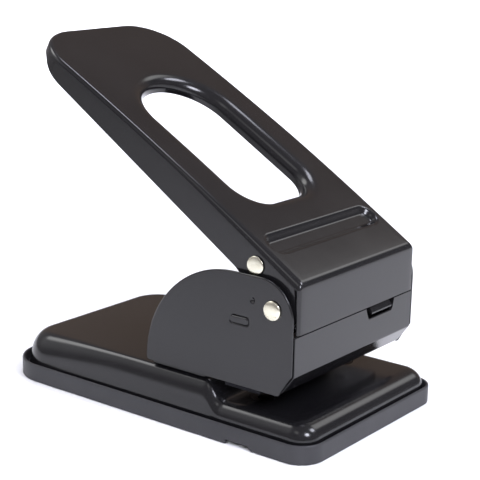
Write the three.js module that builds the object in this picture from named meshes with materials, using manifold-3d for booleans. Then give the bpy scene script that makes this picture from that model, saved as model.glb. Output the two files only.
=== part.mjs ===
import * as THREE from 'three';
import { mergeVertices } from 'three/addons/utils/BufferGeometryUtils.js';
import Module from 'manifold-3d';

// Heavy-duty two-hole paper punch with a long pressed-steel lever. Millimetres, +Z up.
// X runs across the punch, paper goes in from -Y, the lever rises towards +Y.
// Depths below are measured from the face of the front plate; ORIGIN_Y centres the footprint.

const wasm = await Module();
wasm.setup();

// ---- driving dimensions ----
const ORIGIN_Y = 98.5;
const GAP = 0.3;

const HOLE_PITCH = 80;
const HOLE_LINE_Y = 34.5;
const PUNCH_R = 2.75;

const TRAY_HALF = 69;
const TRAY_FRONT = -16.5;
const TRAY_REAR = 213.5;
const TRAY_TOP = 11.2;
const TRAY_WALL = 1.8;
const TRAY_LOW = 0.4;
const TRAY_FLOOR = 3.4;
const POST_TOP = 24;

const PLATE_HALF = 65.4;
const PLATE_FRONT = -13.6;
const PLATE_REAR = 209.8;
const PLATE_BOTTOM = 7;
const PLATE_SHEET = 1.6;
const DECK_Z = 20.2;
const PLATFORM_Z = 30.3;
const PLATFORM_REAR_Z = 28;
const STEP_LOW_Y = 46.5;
const STEP_HIGH_Y = 60;

const CHEEK_IN = 60.5;
const CHEEK_OUT = 62.3;
const CHEEK_BOTTOM = 33;
const CHEEK_TOP = 97.2;
const CHEEK_REAR = 102;

const FACE_HALF = 59.9;
const FACE_SHEET = 1.8;
const FACE_TOP = 67.4;
const BEND_Z = 45;
const BEVEL_Y = 8;
const BEVEL_Z = 34.2;

const PIVOT_Y = 13.5;
const PIVOT_Z = 80.6;
const AXLE_R = 4;
const RIVET_R = 5.5;

const HANDLE_TILT = 30.3;
const HANDLE_SHEET = 2;
const HANDLE_HALF = 58.9;
const HANDLE_END_HALF = 57.3;
const HANDLE_END_S = 279;
const FLANGE_FACE_Y = -1.2;
const FLANGE_LOW_Z = 68.4;

const SHAFT_Y = 28;
const SHAFT_Z = 101.9;
const SHAFT_R = 3.5;
const SLEEVE_R = 5.2;
const SLEEVE_X = 40;

const BLOCK_BOTTOM = 30.6;
const BLOCK_TOP = 44;
const BAR_BOTTOM = 80;
const BAR_FRONT = 21;
const BAR_REAR = 45.5;

// ---- finishes ----
const finishes = {
  black_enamel: { color: 0x17171a, roughness: 0.28, metalness: 0.35 },
  tray_plastic: { color: 0x2b2b2e, roughness: 0.55, metalness: 0.0 },
  nickel: { color: 0xd8d3c4, roughness: 0.22, metalness: 1.0 },
  tool_steel: { color: 0x3a3b3f, roughness: 0.35, metalness: 1.0 },
  zinc_steel: { color: 0xa9abad, roughness: 0.42, metalness: 0.95 },
  bronze: { color: 0x9c7440, roughness: 0.4, metalness: 0.9 },
  rubber: { color: 0x141414, roughness: 0.9, metalness: 0.0 },
};

const part = new THREE.Group();
part.name = 'hole_punch';

// ---- solid helpers ----
function solid(geometry) {
  const g = geometry.clone();
  g.deleteAttribute('normal');
  g.deleteAttribute('uv');
  const m = mergeVertices(g, 1e-4);
  return new wasm.Manifold(new wasm.Mesh({
    numProp: 3,
    vertProperties: new Float32Array(m.attributes.position.array),
    triVerts: new Uint32Array(m.index.array),
  }));
}

function place(name, finish, shape) {
  const mesh = shape.getMesh();
  const geometry = new THREE.BufferGeometry();
  geometry.setAttribute('position', new THREE.BufferAttribute(Float32Array.from(mesh.vertProperties), 3));
  geometry.setIndex(new THREE.BufferAttribute(Uint32Array.from(mesh.triVerts), 1));
  geometry.translate(0, -ORIGIN_Y, 0);
  geometry.computeVertexNormals();
  const node = new THREE.Mesh(geometry, new THREE.MeshStandardMaterial(finishes[finish]));
  node.name = name;
  part.add(node);
}

function box(x0, x1, y0, y1, z0, z1) {
  const g = new THREE.BoxGeometry(x1 - x0, y1 - y0, z1 - z0);
  g.translate((x0 + x1) / 2, (y0 + y1) / 2, (z0 + z1) / 2);
  return solid(g);
}

// Cylinder with its axis along X, between two X positions.
function rodX(radius, x0, x1, y, z, sides = 20) {
  const g = new THREE.CylinderGeometry(radius, radius, x1 - x0, sides);
  g.rotateZ(Math.PI / 2);
  g.translate((x0 + x1) / 2, y, z);
  return solid(g);
}

// Cylinder with its axis along Z, between two heights.
function rodZ(radius, x, y, z0, z1, sides = 20) {
  const g = new THREE.CylinderGeometry(radius, radius, z1 - z0, sides);
  g.rotateX(Math.PI / 2);
  g.translate(x, y, (z0 + z1) / 2);
  return solid(g);
}

// Straight-sided copy of an outline without repeated points.
function tidy(outline, curveSegments) {
  const kept = [];
  for (const p of outline.getPoints(curveSegments)) {
    if (kept.length === 0 || p.distanceTo(kept[kept.length - 1]) > 0.02) kept.push(p);
  }
  while (kept[0].distanceTo(kept[kept.length - 1]) < 0.02) kept.pop();
  return new THREE.Shape(kept);
}

// Outline pulled up between two heights, with an optional rounded upper and lower rim.
function pulled(outline, z0, z1, round, curveSegments, bevelSegments) {
  const g = new THREE.ExtrudeGeometry(tidy(outline, curveSegments), {
    depth: z1 - z0 - 2 * round,
    bevelEnabled: round > 0,
    bevelThickness: round,
    bevelSize: round,
    bevelOffset: -round,
    bevelSegments,
  });
  g.translate(0, 0, z0 + round);
  return g;
}

// Plan outline pulled up between two heights.
function slab(outline, z0, z1, round = 0, curveSegments = 6, rimSegments = 2) {
  return solid(pulled(outline, z0, z1, round, curveSegments, rimSegments));
}

// Side outline (first coordinate along Y, second along Z) pulled across from x0 to x1.
function sidePrism(outline, x0, x1, round = 0, curveSegments = 8) {
  const g = pulled(outline, x0, x1, round, curveSegments, round > 1 ? 2 : 1);
  const toSide = new THREE.Matrix4().makeBasis(
    new THREE.Vector3(0, 1, 0), new THREE.Vector3(0, 0, 1), new THREE.Vector3(1, 0, 0));
  g.applyMatrix4(toSide);
  return solid(g);
}

// Body of revolution about X, given as [radius, x] steps.
function turnedX(steps, y, z, sides = 20) {
  const g = new THREE.LatheGeometry(steps.map(([r, x]) => new THREE.Vector2(r, x)), sides);
  g.rotateZ(-Math.PI / 2);
  g.translate(0, y, z);
  return solid(g);
}

// Body of revolution about Z, given as [radius, z] steps.
function turnedZ(steps, x, y, sides = 20) {
  const g = new THREE.LatheGeometry(steps.map(([r, z]) => new THREE.Vector2(r, z)), sides);
  g.rotateX(Math.PI / 2);
  g.translate(x, y, 0);
  return solid(g);
}

// Rectangle whose front and rear corner pairs have their own radii.
function roundedPlan(half, y0, y1, frontR, rearR) {
  const s = new THREE.Shape();
  s.moveTo(-half + frontR, y0);
  s.lineTo(half - frontR, y0);
  s.absarc(half - frontR, y0 + frontR, frontR, -Math.PI / 2, 0, false);
  s.lineTo(half, y1 - rearR);
  s.absarc(half - rearR, y1 - rearR, rearR, 0, Math.PI / 2, false);
  s.lineTo(-half + rearR, y1);
  s.absarc(-half + rearR, y1 - rearR, rearR, Math.PI / 2, Math.PI, false);
  s.lineTo(-half, y0 + frontR);
  s.absarc(-half + frontR, y0 + frontR, frontR, Math.PI, 1.5 * Math.PI, false);
  return s;
}

function polygon(points) {
  const s = new THREE.Shape();
  s.moveTo(points[0][0], points[0][1]);
  for (const [u, v] of points.slice(1)) s.lineTo(u, v);
  s.closePath();
  return s;
}

// ---- tray and feet ----
function chipTray() {
  const outer = slab(roundedPlan(TRAY_HALF, TRAY_FRONT, TRAY_REAR, 15, 27), TRAY_LOW, TRAY_TOP);
  const insidePlan = roundedPlan(TRAY_HALF - TRAY_WALL, TRAY_FRONT + TRAY_WALL, TRAY_REAR - TRAY_WALL,
    15 - TRAY_WALL, 27 - TRAY_WALL);
  let tray = outer.subtract(slab(insidePlan, TRAY_FLOOR + 1.6, TRAY_TOP + 5));
  tray = tray.subtract(slab(insidePlan, -1, TRAY_FLOOR));
  const notch = polygon([[20.5, -1], [22.6, 2.7], [38.4, 3], [38.4, -1]]);
  tray = tray.subtract(sidePrism(notch, -TRAY_HALF - 1, -TRAY_HALF + 4));
  // posts that the pressed plate rests on
  for (const [x, y] of postSpots()) tray = tray.add(rodZ(4, x, y, TRAY_FLOOR + 1, POST_TOP, 12));
  place('chip_tray', 'tray_plastic', tray);
}

function footSpots() {
  return [[-50, 4], [50, 4], [-46, 188], [46, 188]];
}

function postSpots() {
  return [[-40, 125], [40, 125], [0, 176]];
}

function feet() {
  footSpots().forEach(([x, y], i) => {
    place(`foot_pad_${i + 1}`, 'rubber', rodZ(8, x, y, 0, TRAY_FLOOR - GAP, 16));
  });
}

// ---- pressed base plate ----
function basePlateBody(inset) {
  const half = PLATE_HALF - inset;
  const front = PLATE_FRONT + inset;
  const rear = PLATE_REAR - inset;
  const low = inset > 0 ? PLATE_BOTTOM - 8 : PLATE_BOTTOM;
  const deckTop = DECK_Z - inset;
  const topTop = PLATFORM_Z - inset;
  const deckPlan = roundedPlan(half, front, rear, 13 - inset, 25 - inset);
  const deckCut = box(-90, 90, -60, 300, low, 60);
  const deck = slab(deckPlan, low - 12, deckTop, 5.5 - inset).intersect(deckCut);
  const raised = slab(deckPlan, low - 12, topTop, 6.5 - inset).intersect(deckCut);
  const lowY = STEP_LOW_Y + inset;
  const highY = STEP_HIGH_Y + inset;
  const midY = (lowY + highY) / 2;
  const midZ = (deckTop + topTop) / 2;
  const side = new THREE.Shape();
  side.moveTo(lowY, low - 1);
  side.lineTo(lowY, deckTop - 0.4);
  side.quadraticCurveTo(lowY + 3, deckTop + 0.4, midY, midZ);
  side.quadraticCurveTo(highY - 3.4, topTop - 0.6, highY, topTop);
  side.lineTo(110, topTop);
  side.quadraticCurveTo(150, topTop, 190, PLATFORM_REAR_Z - inset);
  side.quadraticCurveTo(rear - 3, PLATFORM_REAR_Z - inset - 1.5, rear, 14 - inset);
  side.lineTo(rear, low - 1);
  side.closePath();
  return deck.add(raised.intersect(sidePrism(side, -90, 90, 0, 5)));
}

function basePlate() {
  let plate = basePlateBody(0).subtract(basePlateBody(PLATE_SHEET));
  for (const side of [-1, 1]) {
    const x = side * HOLE_PITCH / 2;
    plate = plate.subtract(rodZ(7 + GAP, x, HOLE_LINE_Y, 10, 40));
  }
  for (const [x, y] of screwSpots()) plate = plate.subtract(rodZ(2.5 + GAP, x, y, 20, 40, 16));
  place('base_plate', 'black_enamel', plate);
}

function dieRings() {
  ['left', 'right'].forEach((name, i) => {
    const x = (i ? 1 : -1) * HOLE_PITCH / 2;
    const low = DECK_Z - 5;
    const ring = turnedZ([[PUNCH_R + 0.3, low], [9, low], [9, DECK_Z - PLATE_SHEET - GAP],
      [7, DECK_Z - PLATE_SHEET - GAP], [7, DECK_Z], [PUNCH_R + 0.3, DECK_Z], [PUNCH_R + 0.3, low]],
    x, HOLE_LINE_Y);
    place(`die_ring_${name}`, 'tool_steel', ring);
  });
}

// ---- head frame ----
function screwSpots() {
  return [[-47, 72], [-47, 92], [47, 72], [47, 92]];
}

function footBrackets() {
  const low = PLATFORM_Z + GAP;
  ['left', 'right'].forEach((name, i) => {
    const side = i ? 1 : -1;
    const wall = polygon([[58, low + 2.4], [100, low + 2.4], [99, 52], [90, 62], [66, 62], [58, 52]]);
    const x0 = side > 0 ? 57 : -CHEEK_IN + GAP;
    const x1 = side > 0 ? CHEEK_IN - GAP : -57;
    let bracket = sidePrism(wall, x0, x1);
    const a = side > 0 ? 38 : -58;
    bracket = bracket.add(box(a, a + 20, 62, 100, low, low + 3));
    for (const [x, y] of screwSpots()) bracket = bracket.subtract(rodZ(2.5 + GAP, x, y, 25, 40, 16));
    place(`foot_bracket_${name}`, 'black_enamel', bracket);
  });
}

// Cross plate between the two brackets, it ties the head together behind the punches.
function rearStay() {
  const low = PLATFORM_Z + GAP;
  const plate = box(-56.6, 56.6, 81, 82.6, low + 3 + GAP, 58);
  const foot = box(-37.5, 37.5, 81, 82.6, low, low + 8);
  place('rear_stay', 'black_enamel', plate.add(foot));
}

function bracketScrews() {
  const seat = PLATFORM_Z + GAP + 3 + GAP;
  const under = PLATFORM_Z - PLATE_SHEET - GAP;
  screwSpots().forEach(([x, y], i) => {
    const screw = turnedZ([[0, under - 5.2], [2.5, under - 5.2], [2.5, seat], [4.6, seat],
      [4.6, seat + 1.2], [3.4, seat + 2.6], [0, seat + 3]], x, y, 18);
    const slot = box(x - 5, x + 5, y - 0.5, y + 0.5, seat + 1.9, seat + 4);
    place(`bracket_screw_${i + 1}`, 'zinc_steel', screw.subtract(slot));
    const hex = turnedZ([[2.5 + GAP, under - 4], [4.6, under - 4], [4.6, under], [2.5 + GAP, under],
      [2.5 + GAP, under - 4]], x, y, 6);
    const bore = rodZ(2.5 + GAP, x, y, under - 6, under + 2, 18);
    place(`bracket_nut_${i + 1}`, 'zinc_steel', hex.subtract(bore));
  });
}

function cheekOutline() {
  const s = new THREE.Shape();
  s.moveTo(BEVEL_Y + 0.6, CHEEK_BOTTOM);
  s.lineTo(CHEEK_REAR - 2.4, CHEEK_BOTTOM);
  s.absarc(CHEEK_REAR - 2.4, CHEEK_BOTTOM + 2.4, 2.4, -Math.PI / 2, 0, false);
  s.absarc(40, 35.4, 62, 0, Math.PI / 2, false);
  s.lineTo(22.5, CHEEK_TOP + 0.2);
  s.absarc(22.3, 75.4, 22, Math.PI / 2, Math.PI, false);
  s.lineTo(0.3, BEND_Z + 1);
  s.closePath();
  return s;
}

function cheeks() {
  ['left', 'right'].forEach((name, i) => {
    const side = i ? 1 : -1;
    const x0 = side > 0 ? CHEEK_IN : -CHEEK_OUT;
    const x1 = side > 0 ? CHEEK_OUT : -CHEEK_IN;
    let cheek = sidePrism(cheekOutline(), x0, x1, 0.45, 9);
    cheek = cheek.subtract(rodX(AXLE_R + GAP, x0 - 1, x1 + 1, PIVOT_Y, PIVOT_Z));
    // pressed dimple and small raised rectangle
    cheek = cheek.subtract(rodX(2.2, side * CHEEK_OUT - 0.5, side * CHEEK_OUT + 0.5, 26.3, 82, 16));
    const pad = new THREE.Shape();
    pad.moveTo(31.6, 68.4);
    pad.lineTo(41.8, 68.4);
    pad.lineTo(41.8, 72.9);
    pad.lineTo(31.6, 72.9);
    pad.absarc(31.6, 70.65, 2.25, Math.PI / 2, 1.5 * Math.PI, false);
    const outFace = side * CHEEK_OUT;
    cheek = cheek.add(sidePrism(pad, Math.min(outFace - side, outFace + side * 0.7),
      Math.max(outFace - side, outFace + side * 0.7)));
    place(`cheek_${name}`, 'black_enamel', cheek);
  });
}

function frontPlate() {
  const t = FACE_SHEET;
  const section = polygon([
    [0, FACE_TOP], [0, BEND_Z], [BEVEL_Y, BEVEL_Z], [20, BEVEL_Z], [20, BEVEL_Z + t],
    [BEVEL_Y + 0.8, BEVEL_Z + t], [t, BEND_Z + 0.6], [t, FACE_TOP]]);
  let plate = sidePrism(section, -FACE_HALF, FACE_HALF);
  const notch = new THREE.Shape();
  notch.moveTo(10.2, FACE_TOP + 1);
  notch.lineTo(13.2, 60.4);
  notch.lineTo(38.2, 60.4);
  notch.lineTo(40.4, FACE_TOP + 1);
  notch.closePath();
  const cutter = new THREE.ExtrudeGeometry(notch, { depth: 10, bevelEnabled: false });
  cutter.rotateX(Math.PI / 2);
  cutter.translate(0, 5, 0);
  plate = plate.subtract(solid(cutter));
  place('front_plate', 'black_enamel', plate);
}

function guideBlock() {
  let block = box(-CHEEK_IN + GAP, CHEEK_IN - GAP, 22, 46, BLOCK_BOTTOM, BLOCK_TOP);
  for (const side of [-1, 1]) {
    const x = side * HOLE_PITCH / 2;
    block = block.subtract(rodZ(PUNCH_R + 0.3, x, HOLE_LINE_Y, 20, 60));
  }
  place('guide_block', 'tool_steel', block);
}

function fulcrumAxle() {
  const face = CHEEK_OUT + 0.1;
  const dome = [[AXLE_R, face], [RIVET_R, face], [RIVET_R, face + 0.7], [RIVET_R - 0.7, face + 1.5],
    [RIVET_R - 2.4, face + 2]];
  const mirrored = dome.map(([r, x]) => [r, -x]).reverse();
  const axle = turnedX([[0, -face - 2.1], ...mirrored, ...dome, [0, face + 2.1]], PIVOT_Y, PIVOT_Z);
  place('fulcrum_axle', 'nickel', axle);
  const tube = rodX(5.4, -56.4, 56.4, PIVOT_Y, PIVOT_Z)
    .subtract(rodX(AXLE_R + GAP, -58, 58, PIVOT_Y, PIVOT_Z));
  place('fulcrum_spacer', 'zinc_steel', tube);
}

// ---- press bar, punches and springs ----
// The sleeves slide over crowned pads; the crown keeps them close through the whole stroke.
function crownPoints() {
  const points = [];
  for (let i = 0; i <= 10; i += 1) {
    const y = 41.5 - 1.65 * i;
    points.push([y, 97 - (y - 33.3) ** 2 / 40]);
  }
  return points;
}

function pressBar() {
  const body = polygon([[BAR_FRONT, BAR_BOTTOM], [BAR_REAR, BAR_BOTTOM], [BAR_REAR, 91],
    [BAR_REAR - 1, 92], [BAR_FRONT + 1, 92], [BAR_FRONT, 91]]);
  let bar = sidePrism(body, -54, 54);
  const crown = crownPoints();
  const pad = polygon([[25, 86], [41.5, 86], ...crown]);
  for (const side of [-1, 1]) {
    const x = side * HOLE_PITCH / 2;
    bar = bar.add(sidePrism(pad, x - 12, x + 12));
    bar = bar.subtract(rodZ(4 + GAP, x, HOLE_LINE_Y, 70, 88 + GAP));
    bar = bar.subtract(screwHole(x));
  }
  place('press_bar', 'zinc_steel', bar);
}

function screwHole(x) {
  const g = new THREE.CylinderGeometry(2 + GAP, 2 + GAP, 12, 16);
  g.translate(x, BAR_FRONT + 4, 84);
  return solid(g);
}

function punches() {
  ['left', 'right'].forEach((name, i) => {
    const x = (i ? 1 : -1) * HOLE_PITCH / 2;
    const tip = BLOCK_BOTTOM + 0.6;
    let punch = turnedZ([[0, tip], [PUNCH_R, tip], [PUNCH_R, 60], [4, 61.5], [4, 87.6], [3.6, 88],
      [0, 88]], x, HOLE_LINE_Y);
    const groove = new THREE.CylinderGeometry(5, 5, 12, 24);
    groove.translate(x, HOLE_LINE_Y, tip - 3.6);
    punch = punch.subtract(solid(groove));
    place(`punch_${name}`, 'tool_steel', punch);
    const screw = new THREE.CylinderGeometry(2, 2, 7.6, 16);
    screw.translate(x, BAR_FRONT + 4.9, 84);
    const slot = box(x - 3, x + 3, BAR_FRONT, BAR_FRONT + 1.9, 83.6, 84.4);
    place(`punch_screw_${name}`, 'zinc_steel', solid(screw).subtract(slot));
  });
}

class Helix extends THREE.Curve {
  constructor(radius, z0, z1, turns) {
    super();
    Object.assign(this, { radius, z0, z1, turns });
  }

  getPoint(t, target = new THREE.Vector3()) {
    const a = 2 * Math.PI * this.turns * t;
    return target.set(this.radius * Math.cos(a), this.radius * Math.sin(a), this.z0 + (this.z1 - this.z0) * t);
  }
}

function springs() {
  const wire = 0.75;
  ['left', 'right'].forEach((name, i) => {
    const x = (i ? 1 : -1) * HOLE_PITCH / 2;
    const path = new Helix(6.3, BLOCK_TOP + GAP + wire, BAR_BOTTOM - GAP - wire, 6.5);
    const section = new THREE.Shape();
    section.absarc(0, 0, wire, 0, 2 * Math.PI, false);
    const g = new THREE.ExtrudeGeometry(section, { steps: 66, curveSegments: 3, extrudePath: path });
    g.translate(x, HOLE_LINE_Y, 0);
    place(`return_spring_${name}`, 'zinc_steel', solid(g));
  });
}

// ---- lever ----
// The lever is drawn lying along s (length) and n (height over its pivot line), then tipped up.
function tip(shape) {
  return shape.rotate([HANDLE_TILT, 0, 0]);
}

function toLever(y, z) {
  const a = THREE.MathUtils.degToRad(HANDLE_TILT);
  return [y * Math.cos(a) + z * Math.sin(a), -y * Math.sin(a) + z * Math.cos(a)];
}

function leverPlan(inset) {
  const half = HANDLE_HALF - inset;
  const endHalf = HANDLE_END_HALF - inset;
  const end = HANDLE_END_S - inset;
  const r = 32 - inset;
  const s = new THREE.Shape();
  s.moveTo(-half, 0);
  s.lineTo(half, 0);
  s.lineTo(endHalf, end - r);
  s.absarc(endHalf - r, end - r, r, 0, Math.PI / 2, false);
  s.lineTo(-endHalf + r, end);
  s.absarc(-endHalf + r, end - r, r, Math.PI / 2, Math.PI, false);
  s.closePath();
  return s;
}

// Outside of the folded channel, seen from the side: front face, crowned top and square rear.
function leverSide(inset) {
  const front = FLANGE_FACE_Y + inset;
  const [s0, n0] = toLever(front, 40);
  const [s1, n1] = toLever(front, 96.4 - inset * 1.25);
  const s = new THREE.Shape();
  s.moveTo(s0, n0);
  s.lineTo(300, n0);
  s.lineTo(300, 80.6 - inset);
  s.quadraticCurveTo(170, 88.4 - inset, s1 + 3, n1 + 0.1);
  s.quadraticCurveTo(s1, n1, s1 - 1.4, n1 - 2.4);
  s.closePath();
  return s;
}

function leverShellBody(inset) {
  const half = HANDLE_HALF - inset;
  const body = sidePrism(leverSide(inset), -half, half, inset > 0 ? 0 : 2, 6);
  return body.intersect(slab(leverPlan(inset), 0, 120, 0, 6));
}

// Side flange: deep round ear at the fulcrum, shallow edge running to the rear.
function flangeOutline() {
  const [ps, pn] = toLever(PIVOT_Y, PIVOT_Z);
  const [fs, fn] = toLever(1.4, 93);
  const ear = 13;
  const s = new THREE.Shape();
  s.moveTo(40, 120);
  s.lineTo(fs, fn);
  s.absarc(ps, pn, ear, Math.PI * 0.93, Math.PI * 1.72, false);
  s.quadraticCurveTo(70, 61, 86, 64.1);
  s.lineTo(244, 70.3);
  s.quadraticCurveTo(256, 71.4, 264, 75.6);
  s.lineTo(300, 76);
  s.lineTo(300, 120);
  s.closePath();
  return s;
}

function handHole(grow) {
  const half = 31.2 + grow;
  const front = 108 - grow;
  const r = 18.7 + grow;
  const s = new THREE.Shape();
  s.moveTo(-half + r, front);
  s.lineTo(half - r, front);
  s.absarc(half - r, front + r, r, -Math.PI / 2, 0, false);
  s.lineTo(half, 187.3);
  s.absarc(0, 187.3, half, 0, Math.PI, false);
  s.lineTo(-half, front + r);
  s.absarc(-half + r, front + r, r, Math.PI, 1.5 * Math.PI, false);
  return s;
}

function gripRecess(grow) {
  const half = 52.5 + grow;
  const r = 8.2 + grow;
  const y0 = 68.9 - grow;
  const y1 = 85.9 + grow;
  const s = new THREE.Shape();
  s.moveTo(-half + r, y0);
  s.lineTo(half - r, y0);
  s.absarc(half - r, y0 + r, r, -Math.PI / 2, 0, false);
  s.absarc(half - r, y1 - r, r, 0, Math.PI / 2, false);
  s.lineTo(-half + r, y1);
  s.absarc(-half + r, y1 - r, r, Math.PI / 2, Math.PI, false);
  s.absarc(-half + r, y0 + r, r, Math.PI, 1.5 * Math.PI, false);
  return s;
}

function handleShell() {
  let shell = leverShellBody(0).subtract(leverShellBody(HANDLE_SHEET));
  const frontFlange = polygon([toLever(-4, FLANGE_LOW_Z), toLever(0.85, FLANGE_LOW_Z),
    toLever(0.85, 100), toLever(-4, 100)]);
  shell = shell.intersect(sidePrism(flangeOutline(), -90, 90, 0, 7).add(sidePrism(frontFlange, -90, 90)));
  // rolled lip round the hand hole
  const lip = slab(handHole(HANDLE_SHEET), 75.4, 84.2, 0, 8);
  shell = shell.add(lip).subtract(slab(handHole(0), 60, 100, 0, 8));
  // shallow pressed bar near the front
  const plug = slab(gripRecess(HANDLE_SHEET), 79.1, 83.4, 0, 4);
  shell = shell.add(plug).subtract(slab(gripRecess(0), 80.8, 95, 1.5, 4, 1));
  const [ps, pn] = toLever(PIVOT_Y, PIVOT_Z);
  const [qs, qn] = toLever(SHAFT_Y, SHAFT_Z);
  shell = shell.subtract(rodX(5.6, -80, 80, ps, pn)).subtract(rodX(SHAFT_R + GAP, -80, 80, qs, qn));
  place('handle_shell', 'black_enamel', tip(shell));
}

function handleBushings() {
  ['left', 'right'].forEach((name, i) => {
    const side = i ? 1 : -1;
    const a = side > 0 ? 56.8 : -59.1;
    const ring = rodX(5.3, a, a + 2.3, PIVOT_Y, PIVOT_Z)
      .subtract(rodX(AXLE_R + GAP, a - 1, a + 4, PIVOT_Y, PIVOT_Z));
    place(`handle_bushing_${name}`, 'bronze', ring);
  });
}

function pressShaft() {
  const face = HANDLE_HALF + 0.1;
  const head = [[SHAFT_R, face], [5.4, face], [5.4, face + 0.6], [4.6, face + 1.1]];
  const mirrored = head.map(([r, x]) => [r, -x]).reverse();
  const shaft = turnedX([[0, -face - 1.2], ...mirrored, ...head, [0, face + 1.2]], SHAFT_Y, SHAFT_Z);
  place('press_shaft', 'nickel', shaft);
  ['left', 'right'].forEach((name, i) => {
    const x = (i ? 1 : -1) * SLEEVE_X;
    const sleeve = rodX(SLEEVE_R, x - 10, x + 10, SHAFT_Y, SHAFT_Z)
      .subtract(rodX(SHAFT_R + GAP, x - 12, x + 12, SHAFT_Y, SHAFT_Z));
    place(`press_sleeve_${name}`, 'tool_steel', sleeve);
  });
}

// Tongue behind the front flange; it stands in the notch of the front plate when the lever is up.
function stopTongue() {
  const section = polygon([[1.15, 78], [1.15, 66.2], [0.7, 65], [0.7, 62.6], [1.2, 61.9], [2, 61.9],
    [2.7, 62.6], [2.7, 65.4], [2.55, 66.4], [2.55, 78]]);
  place('stop_tongue', 'black_enamel', sidePrism(section, 16.6, 37.9));
}

chipTray();
feet();
basePlate();
dieRings();
footBrackets();
rearStay();
bracketScrews();
cheeks();
frontPlate();
guideBlock();
fulcrumAxle();
pressBar();
punches();
springs();
handleShell();
handleBushings();
pressShaft();
stopTongue();

export default part;
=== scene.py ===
import math
import bpy
import bmesh
import numpy as np
from mathutils import Matrix, Vector
from mathutils.geometry import delaunay_2d_cdt


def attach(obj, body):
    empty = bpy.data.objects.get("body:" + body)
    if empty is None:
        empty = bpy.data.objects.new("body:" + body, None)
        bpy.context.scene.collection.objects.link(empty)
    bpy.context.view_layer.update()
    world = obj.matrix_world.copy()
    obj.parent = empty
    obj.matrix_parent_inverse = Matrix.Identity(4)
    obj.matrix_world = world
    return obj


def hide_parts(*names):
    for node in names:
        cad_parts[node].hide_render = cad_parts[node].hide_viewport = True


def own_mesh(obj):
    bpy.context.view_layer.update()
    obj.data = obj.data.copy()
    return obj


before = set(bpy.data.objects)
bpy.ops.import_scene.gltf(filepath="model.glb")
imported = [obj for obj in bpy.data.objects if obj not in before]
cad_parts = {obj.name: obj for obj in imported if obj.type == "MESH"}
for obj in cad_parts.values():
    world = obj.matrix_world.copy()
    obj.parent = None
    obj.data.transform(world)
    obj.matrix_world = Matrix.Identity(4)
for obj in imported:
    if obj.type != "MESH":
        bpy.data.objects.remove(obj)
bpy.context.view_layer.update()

# The looks of a heavy-duty two-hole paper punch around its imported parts.
# Shapes are worked out in millimetres, with depth y measured from the face of the front plate
# and height z from the desk; SHIFT_Y moves them into the row frame.

scene = bpy.context.scene
MM = 0.001
SHIFT_Y = -98.5
WELD, FINE_WELD = 0.012, 0.003  # points nearer to each other than this are merged
PUNCH_X, PUNCH_Y = 40, 34.5     # centres of the two holes


def at(x, y, z):
    return Vector((x * MM, (y + SHIFT_Y) * MM, z * MM))


def smooth(t):
    t = min(1.0, max(0.0, t))
    return t * t * (3 - 2 * t)


def blend(a, b, t):
    return a + (b - a) * t


def bezier(points, t):
    """Point at t on a quadratic curve given by its three control points."""
    weights = (1 - t) ** 2, 2 * t * (1 - t), t * t
    return tuple(sum(w * c for w, c in zip(weights, coords)) for coords in zip(*points))


def bezier_height(points, s):
    """Height over s of a quadratic curve given by three (s, height) control points."""
    start, middle, end = (p[0] for p in points)
    a, b = start - 2 * middle + end, 2 * (middle - start)
    return bezier(points, (math.sqrt(b * b - 4 * a * (start - s)) - b) / (2 * a))[1]


def line_height(a, b, s):
    """Height over s of the straight line through two (s, height) points."""
    return blend(a[1], b[1], (s - a[0]) / (b[0] - a[0]))


def box_gap(u, v, half_u, half_v, r):
    """Distance of (u, v) outside a centred rectangle with rounded corners; negative inside."""
    du, dv = abs(u) - half_u + r, abs(v) - half_v + r
    return math.hypot(max(du, 0), max(dv, 0)) + min(max(du, dv), 0) - r


def box_corners(half_u, half_v, r):
    """Corner centres of that rectangle, each with the angle at which its arc starts."""
    u, v = half_u - r, half_v - r
    return [(u, -v, -90), (u, v, 0), (-u, v, 90), (-u, -v, 180)]


# ---------------------------------------------------------------- mesh helpers

def inside(points, loop):
    """Which plan points lie inside a closed loop."""
    x, y = points[:, 0:1], points[:, 1:2]
    px, py = loop[:, 0], loop[:, 1]
    qx, qy = np.roll(px, -1), np.roll(py, -1)
    spans = (py[None] > y) != (qy[None] > y)
    slope = np.where(qy == py, 1.0, qy - py)
    crossing = x < (qx - px)[None] * (y - py[None]) / slope[None] + px[None]
    return (spans & crossing).sum(1) % 2 == 1


def close_to(points, loop, reach):
    """Which plan points lie within reach of a loop's edges."""
    a, b = loop, np.roll(loop, -1, axis=0)
    d = b - a
    length = np.maximum((d ** 2).sum(1), 1e-12)
    t = ((points[:, None, :] - a[None]) * d[None]).sum(2) / length[None]
    t = np.clip(t, 0, 1)
    near = a[None] + t[:, :, None] * d[None]
    return (((points[:, None, :] - near) ** 2).sum(2).min(1)) < reach ** 2


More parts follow.
